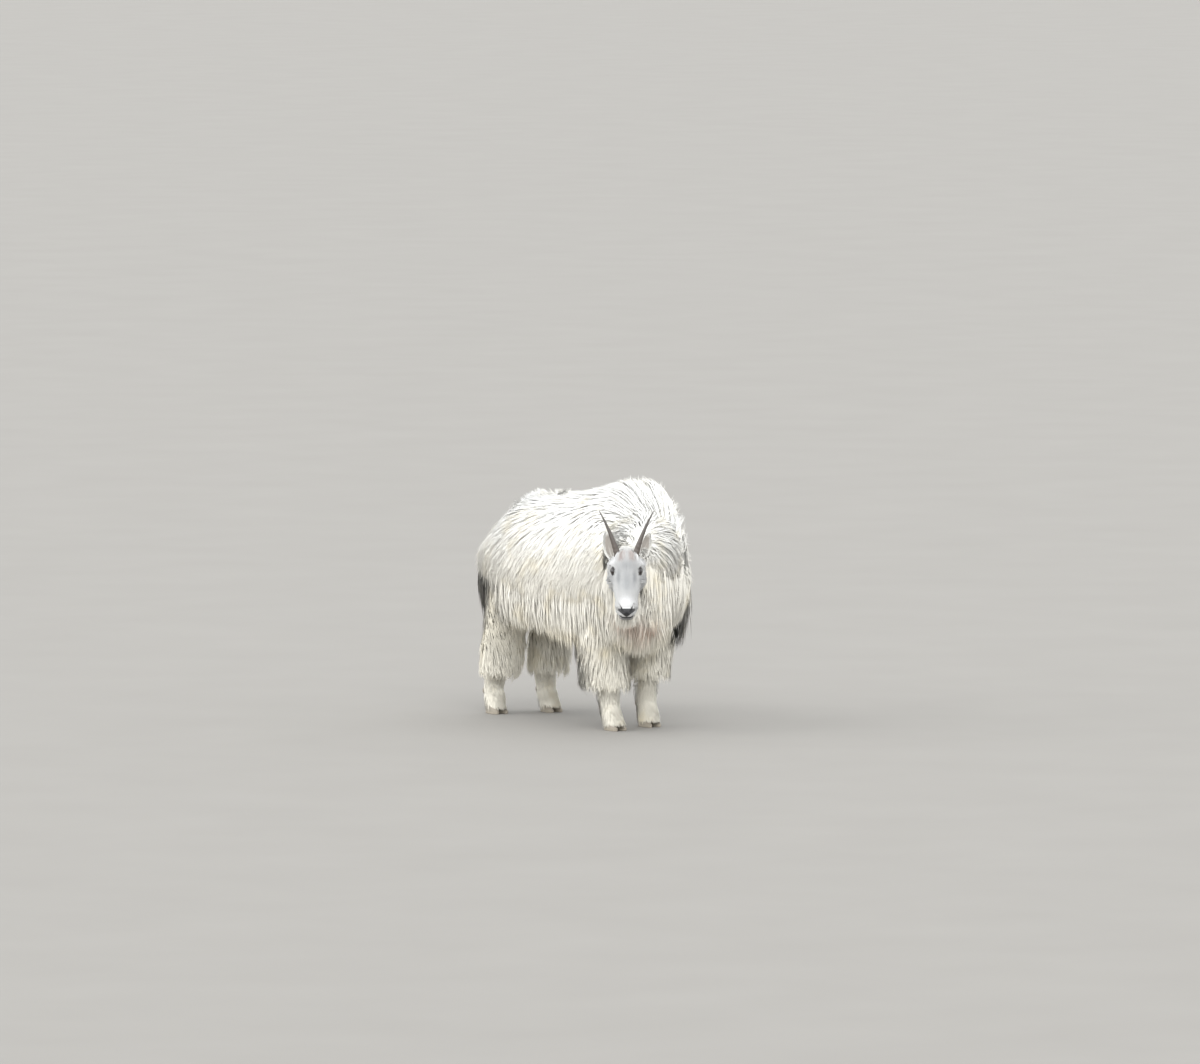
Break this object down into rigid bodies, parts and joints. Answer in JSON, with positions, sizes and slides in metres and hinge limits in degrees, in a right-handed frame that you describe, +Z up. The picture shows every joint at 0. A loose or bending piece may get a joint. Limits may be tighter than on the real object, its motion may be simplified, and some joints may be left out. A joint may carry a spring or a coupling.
{
  "type": "mountain goat",
  "caption": "Mountain goat nanny standing square on four feet, head lowered and turned to her right, with slim backswept horns and a long shaggy winter coat.",
  "frame": {"origin": "on the ground, at the bottom centre of the whole goat's box", "axes": "+Z up, the goat faces -Y, her left side is +X"},
  "size_m": [0.582, 1.328, 0.9226],
  "materials": {
    "coat": "long creamy white hair, woolly at the root, yellower on the flanks and legs",
    "face": "short dense white hair with a grey cast on the bridge and below the eyes; bare near black nose",
    "horn": "dark grey brown horn, ringed near the base and smooth towards the tip",
    "eye": "wet dark brown eye with a level slit pupil",
    "hoof": "grey hoof horn, scuffed and paler at the sole's edge"
  },
  "bodies": {
    "root": {"torso": "coat", "neck": "coat", "tail": "coat", "foreleg_left": "coat", "foreleg_right": "coat", "hindleg_left": "coat", "hindleg_right": "coat", "cannon_foreleg_left": "coat", "cannon_foreleg_right": "coat", "cannon_hindleg_left": "coat", "cannon_hindleg_right": "coat", "head": "face", "ear_left": "face", "ear_right": "face", "horn_left": "horn", "horn_right": "horn", "eye_left": "eye", "eye_right": "eye", "claw_foreleg_left_outer": "hoof", "claw_foreleg_left_inner": "hoof", "claw_foreleg_right_outer": "hoof", "claw_foreleg_right_inner": "hoof", "claw_hindleg_left_outer": "hoof", "claw_hindleg_left_inner": "hoof", "claw_hindleg_right_outer": "hoof", "claw_hindleg_right_inner": "hoof"}
  },
  "joints": []
}
